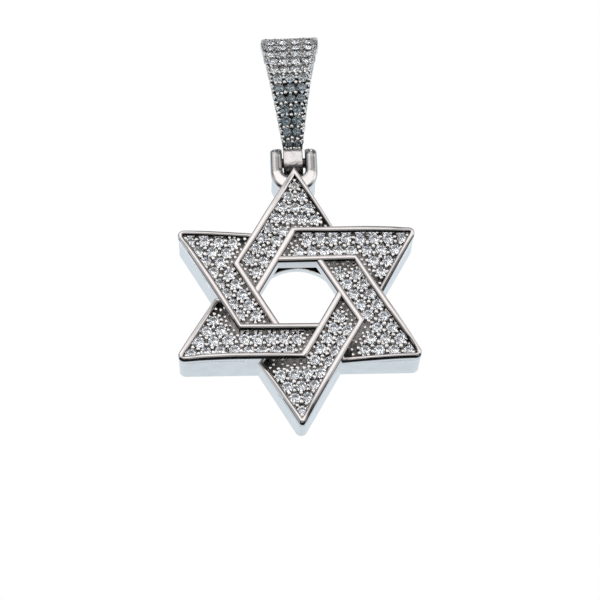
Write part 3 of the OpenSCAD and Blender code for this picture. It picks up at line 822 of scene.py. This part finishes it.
# The first bead stands between a point's stone and its tip, and none where a ribbon dives under the next one
tip = FIRST_ROW - POINT_STONE / 2 - 0.13
spots = bead_places(RIBBON_STONES, ribbon_room, [(tip * ROOT3 / 2, tip / 2, SIDE_BEADS[0])])
spots = [s for s in spots if stone_level(s[0], s[1]) > LOWEST_BEAD]
beads = []
for k in range(6):
    for u, v, r in spots:
        at = placed(turned(plan(u, v), k), stone_level(u, v) - RECESS)
        axes = tilted(*FRONT_AXES, BEAD_TILT)
        beads.append(bead(at, *axes, r * random.uniform(0.9, 1.02), random.uniform(0.7, 0.76), FLAT_HEAD))
piece("star_beads", joined(beads), BEADS, *STAR_METAL, weighted=False)


def bail_room(x, s):
    """Distance from a place on the bail's front to its channel's walls and ends."""
    to_wall = half_w(bail_height(s)) - CHANNEL_WALL - abs(x)
    return min(to_wall, s - 0.1, LOOP_R * radians(2 * LOOP_A) - s)


def bail_prongs():
    """Prongs (x, distance along the arc, radius) at the knuckle, and two a row down each side."""
    prongs = [(x, 0.17, KNUCKLE_PRONG_R) for x in KNUCKLE_PRONGS]
    for row, share in itertools.product(range(len(BAIL_ROWS) - 1), PRONG_SHARES):
        s = BAIL_FIRST + (row + share) * BAIL_PITCH
        x = half_w(bail_height(s)) - PRONG_IN
        prongs += [(-x, s, PRONG_R), (x, s, PRONG_R)]
    return prongs


flat_stones = [(x, (a + radians(LOOP_A)) * LOOP_R, d) for x, a, r, d in bail_stones()]
beads = []
for x, s, r in bead_places(flat_stones, bail_room) + bail_prongs():
    a = s / LOOP_R - radians(LOOP_A)
    # Below the arc's middle the beads lean less than its surface does
    out, side, up = bail_axes(min(a, 0) * 0.15 + max(a, 0))
    at = bail_place(x, a, LOOP_R - CHANNEL + HEAD_H) - out * HEAD_H
    beads.append(bead(at, out, side, up, r, random.uniform(0.6, 0.68), ROUND_HEAD))
piece("bail_beads", joined(beads), BEADS, *BAIL_METAL, weighted=False, turn=BAIL_TURN)


# Bail
FRONT_STEPS, TOP_STEPS, BACK_STEPS = 168, 24, 60
# Depth and width that a scallop takes from the edge, and the angle over which the channel ends at the top
SCALLOP_H, SCALLOP_W, CHANNEL_END = 0.4, 0.13, 24
# Points of a ring, and its faces that make the channel's floor and its scalloped edges
RING_POINTS, CHANNEL_FACES = 24, range(1, 17)


def loop_section(where, degrees):
    """Ring round the loop's wall at a station of its front, its top or its back."""
    a = radians(degrees)
    way = vec(cos(a) if where == "back" else -cos(a), sin(a))
    centre = {"front": vec(ARC_Y, ARC_Z), "top": vec(0, TOP_ARC_Z), "back": vec(-ARC_Y, ARC_Z)}[where]
    outer_r = TOP_ARC_R if where == "top" else LOOP_R
    drop, scallop = 0.0, 0.0
    if where == "front":
        s = (a + radians(LOOP_A)) * LOOP_R
        drop = CHANNEL * smoothstep(0.05, 0.16, s)
        phase = (s - BAIL_FIRST) / BAIL_PITCH
        if -0.5 < phase < len(BAIL_ROWS) - 0.5:
            scallop = (0.5 + 0.5 * cos(tau * phase)) ** 0.6
    elif where == "top":
        drop = CHANNEL * smoothstep(LOOP_A + CHANNEL_END, LOOP_A, degrees)

    def at(inset, depth, share=1.0):
        """Place at an inset from the loop's side and a depth below its outer surface."""
        p = centre + way * (outer_r - depth)
        return vec(share * (half_w(p.y) - BACK_NARROW * max(0, p.x) - inset), p.x, p.y)

    def mirrored(points):
        return [vec(-p.x, p.y, p.z) for p in points]

    # Half of the section as (inset, depth) places, the last of which is halfway to the middle
    cut, thin, wall = SCALLOP_H * scallop, SCALLOP_W * scallop, CHANNEL_WALL
    if drop > 0.05:
        foot = max(cut + 0.04, drop)
        half = [(0.08, 0.62), (0.04, 0.42 + cut * 0.4), (thin * 0.6, 0.2 + cut * 0.5),
                (thin + 0.012, cut + 0.05), (thin + 0.042, cut), (wall - 0.02, cut), (wall, cut + 0.03),
                (wall, foot), (wall, foot if drop > 0.1 else drop, 0.5)]
    else:
        half = [(0.08, 0.62), (0.04, 0.42), (0.0, 0.2), (0.015, 0.06), (0.06, 0.015), (0.1, 0.003),
                (wall, 0.0), (wall, drop), (wall, drop, 0.5)]
    outer = [at(*p) for p in half]
    inner = [at(*p) for p in ((0.1, LOOP_WALL - 0.09), (0.13, LOOP_WALL - 0.03), (0.19, LOOP_WALL))]
    return outer + mirrored(outer[::-1]) + mirrored(inner) + inner[::-1]


def bail_loop():
    stations = [("front", -LOOP_A + 2 * LOOP_A * i / FRONT_STEPS) for i in range(FRONT_STEPS + 1)]
    stations += [("top", LOOP_A + (180 - 2 * LOOP_A) * i / TOP_STEPS) for i in range(1, TOP_STEPS)]
    stations += [("back", LOOP_A - 2 * LOOP_A * i / BACK_STEPS) for i in range(BACK_STEPS + 1)]
    return loft([loop_section(*station) for station in stations], caps=True)


def in_channel(i):
    return i < RING_POINTS * (FRONT_STEPS + 1) and i % RING_POINTS in CHANNEL_FACES


piece("bail_loop", bail_loop(), SILVER, *BAIL_METAL, turn=BAIL_TURN, second=(GROUND, in_channel))


def bored_block(profile, bore, half_width, round_r, turn):
    """Block along X with a side profile of (y, z) points, rounded ends and a round bore about the pin."""
    n = len(profile)
    centre = vec(sum(p[0] for p in profile) / n, sum(p[1] for p in profile) / n)

    def shrunk(inset):
        out = []
        for i in range(n):
            a, b, c = vec(*profile[i - 1]), vec(*profile[i]), vec(*profile[(i + 1) % n])
            e = ((b - a).normalized() + (c - b).normalized()).normalized()
            nrm = vec(-e.y, e.x)
            if nrm.dot(centre - b) < 0:
                nrm = -nrm
            out.append(b + nrm * inset)
        return out

    spin = Matrix.Rotation(turn, 3, "Z")

    def ring(pts, x):
        return [spin @ vec(x, p.x, p.y) for p in pts]

    def hole(r, x):
        """Bore ring along X itself, on the side face that has been turned."""
        pts = [vec(0, PIN_Z) + (vec(*p) - vec(0, PIN_Z)).normalized() * r for p in profile]
        return [vec((x - p.x * sin(turn)) / cos(turn), p.x, p.y) for p in pts]

    x0, x1 = -half_width, half_width
    angles = [radians(30 * i) for i in range(4)]
    edge = [(round_r * (1 - sin(a)), round_r * (1 - cos(a))) for a in angles]
    rings = [ring(shrunk(inset), x0 + step) for inset, step in edge]
    rings += [ring(shrunk(inset), x1 - step) for inset, step in edge[::-1]]
    rings += [hole(bore + 0.03, x1), hole(bore, x1 - 0.03), hole(bore, x0 + 0.03), hole(bore + 0.03, x0)]
    return loft(rings, path_closed=True)


def arc_points(cy, cz, r, start, stop, n):
    return [(cy + r * cos(radians(start + (stop - start) * i / n)),
             cz + r * sin(radians(start + (stop - start) * i / n))) for i in range(n + 1)]


def knuckle_profile():
    """The knuckle's side view: a neck that widens from the loop, straight sides and a round underside."""
    half_t = KNUCKLE_T / 2
    neck = [(0.85, KNUCKLE_TOP + 0.6), (1.12, KNUCKLE_TOP + 0.25), (half_t - 0.02, KNUCKLE_TOP - 0.02)]
    side = neck + [(half_t, KNUCKLE_TOP - 0.1 - 0.3 * i) for i in range(5)]
    half_arc = math.degrees(math.asin(half_t / KNUCKLE_R)) - 4
    under = arc_points(0, PIN_Z, KNUCKLE_R, 270 - half_arc, 270 + half_arc, 16)
    top = [(0.4, KNUCKLE_TOP + 0.61), (-0.4, KNUCKLE_TOP + 0.61)]
    return [(-y, z) for y, z in side] + under + side[::-1] + top


knuckle = bored_block(knuckle_profile(), PIN_R + KNUCKLE_GAP, KNUCKLE_W / 2, KNUCKLE_ROUND, BAIL_TURN)
piece("bail_knuckle", knuckle, SATIN, *BAIL_METAL)


# Yoke
FOOT_Z, TOP_Z = PIN_Z - SLOT_DROP + FOOT_RISE, PIN_Z + EAR_R
# Radius of the slot's bends, and the height of their centres
BEND_R = 0.8
BEND_Z = PIN_Z - SLOT_DROP + BEND_R
YOKE_ROUND, VOXEL, SMOOTH_STEPS = 0.46, 0.055, 6


def solid(name, data):
    mesh = bpy.data.meshes.new(name)
    mesh.from_pydata(data[0], [], data[1])
    face_outward(mesh)
    return linked(name, mesh)


def prism(points, a, b, place):
    return loft([[place(p, a) for p in points], [place(p, b) for p in points]], caps=True)


def spaced(pts, n):
    """n + 1 points at equal steps along a line of points."""
    dist = [0.0]
    for p, q in zip(pts, pts[1:]):
        dist.append(dist[-1] + math.dist(p, q))
    lines = [list(zip(dist, [p[axis] for p in pts])) for axis in (0, 1)]
    return [tuple(lookup(dist[-1] * i / n, line) for line in lines) for i in range(n + 1)]


def yoke_section(outer, inner):
    """Round-cornered section between an outer and an inner place of the front view."""
    o, n = vec(*outer), vec(*inner)
    mid, a = (o + n) / 2, (n - o).length / 2
    way = (n - o).normalized()
    z = min(mid.y, TOP_Z - 0.004)
    if z > PIN_Z:
        d = sqrt(EAR_R ** 2 - (z - PIN_Z) ** 2)
    else:
        d = EAR_R + (YOKE_T / 2 - EAR_R) * min(1, (PIN_Z - z) / (PIN_Z - FOOT_Z))
    # The ear's top is rounded on its outer side, and a little on its inner side
    for share, r in ((1, 0.7), (-1, 0.25)):
        if z > TOP_Z - r:
            cut = (r - sqrt(r * r - (z - TOP_Z + r) ** 2)) / 2
            mid += way * cut * share
            a -= cut
    c = min(YOKE_ROUND, 0.95 * a, 0.95 * d)
    ring = []
    for q, (sx, sy) in enumerate(((1, 1), (-1, 1), (-1, -1), (1, -1))):
        for i in range(6):
            t = radians(90 * q + 18 * i)
            p = mid + way * (sx * (a - c) + c * cos(t))
            ring.append(vec(p.x, sy * (d - c) + c * sin(t), p.y))
    return ring


def yoke_sweep():
    """The U-shaped yoke, swept from one ear round its foot to the other."""
    out, slot = YOKE_W / 2, SLOT_W / 2
    arm = [PIN_Z + EAR_R * sin(radians(a)) for a in (88, 82, 76, 70, 62, 54, 46, 36, 24, 12)]
    arm += [PIN_Z + (BEND_Z - PIN_Z) * i / 6 for i in range(6)]
    floor_line = arc_points(-slot + BEND_R, BEND_Z, BEND_R, 180, 270, 8)
    floor_line += arc_points(slot - BEND_R, BEND_Z, BEND_R, 270, 360, 8)
    outer_line = [(-out, BEND_Z)] + arc_points(0, FOOT_Z, out, 180, 360, 40) + [(out, BEND_Z)]
    places = [((-out, z), (-slot, z)) for z in arm]
    places += zip(spaced(outer_line, 32), spaced(floor_line, 32))
    places += [((out, z), (slot, z)) for z in reversed(arm)]
    return loft([yoke_section(*p) for p in places], caps=True)


def yoke_mesh():
    """The yoke less the star's point and the pin's bore, with its edges softened."""
    yoke = solid("yoke", yoke_sweep())
    star_tool = solid("yoke_star", prism(star_outline(RIM_W / 2), -1.4, 3.0, placed))
    bore = arc_points(0, PIN_Z, PIN_R + EAR_GAP, 0, 350, 35)
    bore_tool = solid("yoke_bore", prism(bore, -4, 4, lambda p, x: vec(x, *p)))
    for tool in (star_tool, bore_tool):
        mod = yoke.modifiers.new("cut", "BOOLEAN")
        mod.operation = "DIFFERENCE"
        mod.object = tool
        mod.solver = "EXACT"
    mod = yoke.modifiers.new("even", "REMESH")
    mod.mode = "VOXEL"
    mod.voxel_size = VOXEL
    mod = yoke.modifiers.new("soft", "SMOOTH")
    mod.factor = 0.5
    mod.iterations = SMOOTH_STEPS
    bpy.context.view_layer.update()
    mesh = bpy.data.meshes.new_from_object(yoke.evaluated_get(bpy.context.evaluated_depsgraph_get()))
    for obj in (yoke, star_tool, bore_tool):
        bpy.data.objects.remove(obj)
    return [tuple(v.co) for v in mesh.vertices], [tuple(p.vertices) for p in mesh.polygons]


piece("star_yoke", yoke_mesh(), YOKE, *STAR_METAL, sharp=60, weighted=False)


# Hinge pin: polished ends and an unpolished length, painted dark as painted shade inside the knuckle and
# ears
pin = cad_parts["hinge_pin"].data
pin.materials.clear()
pin.materials.append(SILVER)
pin.materials.append(INSIDE)
for face in pin.polygons:
    face.material_index = 0 if abs(face.normal.x) > 0.5 else 1


# Stage, in metres
FLOOR_R, FLOOR_Z, FLOOR_SIDES = 2.5, -0.2, 24
WHITE = (1, 1, 1, 1)


def stage_floor():
    """Pale round floor that the metal and the stones don't reflect."""
    angles = [tau * i / FLOOR_SIDES for i in range(FLOOR_SIDES)]
    verts = [(FLOOR_R * cos(a), FLOOR_R * sin(a), FLOOR_Z) for a in angles]
    mesh = bpy.data.meshes.new("floor")
    mesh.from_pydata(verts, [], [tuple(range(FLOOR_SIDES))])
    mat, _, bsdf = principled("floor_pale")
    wire(bsdf, [("Base Color", (0.86, 0.86, 0.86, 1)), ("Roughness", 0.8), ("Emission Color", WHITE),
                ("Emission Strength", 0.58)])
    mesh.materials.append(mat)
    obj = linked("floor", mesh)
    obj.visible_glossy = False
    obj.visible_transmission = False


stage_floor()


# Light
# Tones of the studio from straight down to straight up, in front of the pendant and behind it
FRONT_TONES = [(0.0, 0.04), (0.21, 0.015), (0.28, 0.42), (0.35, 0.58), (0.42, 0.42), (0.45, 0.015),
               (0.48, 0.01), (0.52, 0.14), (0.6, (0.55, 0.52, 0.51)), (0.66, (0.98, 0.94, 0.93)),
               (0.71, (1.15, 1.12, 1.11)), (0.78, (1.0, 0.96, 0.95)), (0.87, (0.45, 0.43, 0.43)),
               (0.94, 0.2), (1.0, 0.14)]
BEHIND_TONES = [(0.0, (0.1, 0.11, 0.12)), (0.18, (0.56, 0.63, 0.68)), (0.35, (0.68, 0.76, 0.81)),
                (0.7, (0.7, 0.77, 0.82)), (0.85, (0.5, 0.53, 0.56)), (1.0, 0.14)]
# Tones of the panels that show in the stones, each with its share; the last three are coloured
PANEL_TONES = [(0.0, 0.05), (0.2, 0.26), (0.38, 0.6), (0.56, (1.3, 1.29, 1.24)), (0.74, (3.0, 3.0, 2.95)),
               (0.962, (3.2, 2.7, 1.3)), (0.978, (0.8, 1.4, 2.4)), (0.993, (2.6, 1.1, 0.7))]
PANEL_SCALE = 7


def studio_world():
    """Soft studio: pale behind; in front bright high up, dark at the horizon and bright in a band below.

    Rays through the stones meet small panels instead, and the background itself is white.
    """
    world = bpy.data.worlds.new("studio")
    world.use_nodes = True
    bpy.context.scene.world = world
    tree = world.node_tree
    direction = add_node(tree, "ShaderNodeTexCoord").outputs["Generated"]
    x, y, z = add_node(tree, "ShaderNodeSeparateXYZ", [(0, direction)]).outputs
    rays = add_node(tree, "ShaderNodeLightPath").outputs

    def ranged(source, a, b, c=0.0, d=1.0):
        sockets = [("Value", source), ("From Min", a), ("From Max", b), ("To Min", c), ("To Max", d)]
        made = add_node(tree, "ShaderNodeMapRange", sockets, interpolation_type="SMOOTHSTEP")
        return made.outputs["Result"]

    def maths(operation, *values):
        return add_node(tree, "ShaderNodeMath", enumerate(values), operation=operation).outputs[0]

    def scaled(colour, share):
        made = add_node(tree, "ShaderNodeVectorMath", [(0, colour), ("Scale", share)], operation="SCALE")
        return made.outputs[0]

    height = maths("MULTIPLY_ADD", z, 0.5, 0.5)
    reach = maths("MULTIPLY", maths("ABSOLUTE", x), 0.2)
    front = ramp(tree, maths("ADD", height, reach), FRONT_TONES)
    behind = ramp(tree, height, BEHIND_TONES)
    room = mixed(tree, ranged(y, -0.25, 0.3), front, behind)
    sides = maths("MULTIPLY", ranged(x, -0.7, -0.12, 0.42, 1.0), ranged(x, 0.12, 0.7, 1.0, 0.58))
    # Towards the back the sides are as bright as the middle
    dimming = add_node(tree, "ShaderNodeMix", [(0, ranged(y, -0.1, 0.5)), (2, sides), (3, 1.0)]).outputs[0]
    cells = add_node(tree, "ShaderNodeTexVoronoi", [("Vector", direction), ("Scale", PANEL_SCALE)])
    pick = add_node(tree, "ShaderNodeSeparateColor", [(0, cells.outputs["Color"])]).outputs[0]
    panels = scaled(ramp(tree, pick, PANEL_TONES, "CONSTANT"), ranged(z, -0.75, -0.3, 0.32, 1.0))
    seen = mixed(tree, rays["Is Transmission Ray"], scaled(room, dimming), panels)
    seen = mixed(tree, rays["Is Camera Ray"], seen, WHITE)
    wire(tree.nodes["Background"], [("Color", seen)])


studio_world()


def area_light(name, at, towards, size, power):
    light = bpy.data.lights.new(name, "AREA")
    light.size = size
    light.energy = power
    obj = linked(name, light)
    obj.location = at
    obj.rotation_mode = "QUATERNION"
    obj.rotation_quaternion = (Vector(towards) - Vector(at)).to_track_quat("-Z", "Y")


MIDDLE = (0, 0, -0.021)
area_light("key", (-0.28, -0.38, 0.52), MIDDLE, 0.6, 0.5)
area_light("fill", (0.42, -0.25, 0.22), MIDDLE, 0.4, 0.25)
area_light("back_light", (0.05, 0.5, 0.45), MIDDLE, 0.6, 0.6)


# Camera: its way, its roll and its distance from the star in millimetres, worked out from the star's corners
VIEW_WAY, VIEW_ROLL, VIEW_DISTANCE = vec(0.0360, 0.9038, 0.4266), 0.0323, 191.6

scene = bpy.context.scene
scene.view_settings.view_transform = "Standard"
scene.view_settings.look = "None"
optics = bpy.data.cameras.new("camera")
optics.lens, optics.sensor_width = 118.5, 36
optics.clip_start, optics.clip_end = 0.005, 20
optics.shift_x, optics.shift_y = 0.0027, -0.0123
camera = linked("camera", optics)
scene.camera = camera
forward = VIEW_WAY.normalized()
right = forward.cross(vec(0, 0, 1)).normalized()
up = right.cross(forward)
cam_x = (right - up * VIEW_ROLL).normalized()
cam_y = (right * VIEW_ROLL + up).normalized()
camera.rotation_mode = "QUATERNION"
camera.rotation_quaternion = Matrix((cam_x, cam_y, -forward)).transposed().to_quaternion()
camera.location = (vec(0, -PIN_BACK, STAR_Z) - forward * VIEW_DISTANCE) * MM
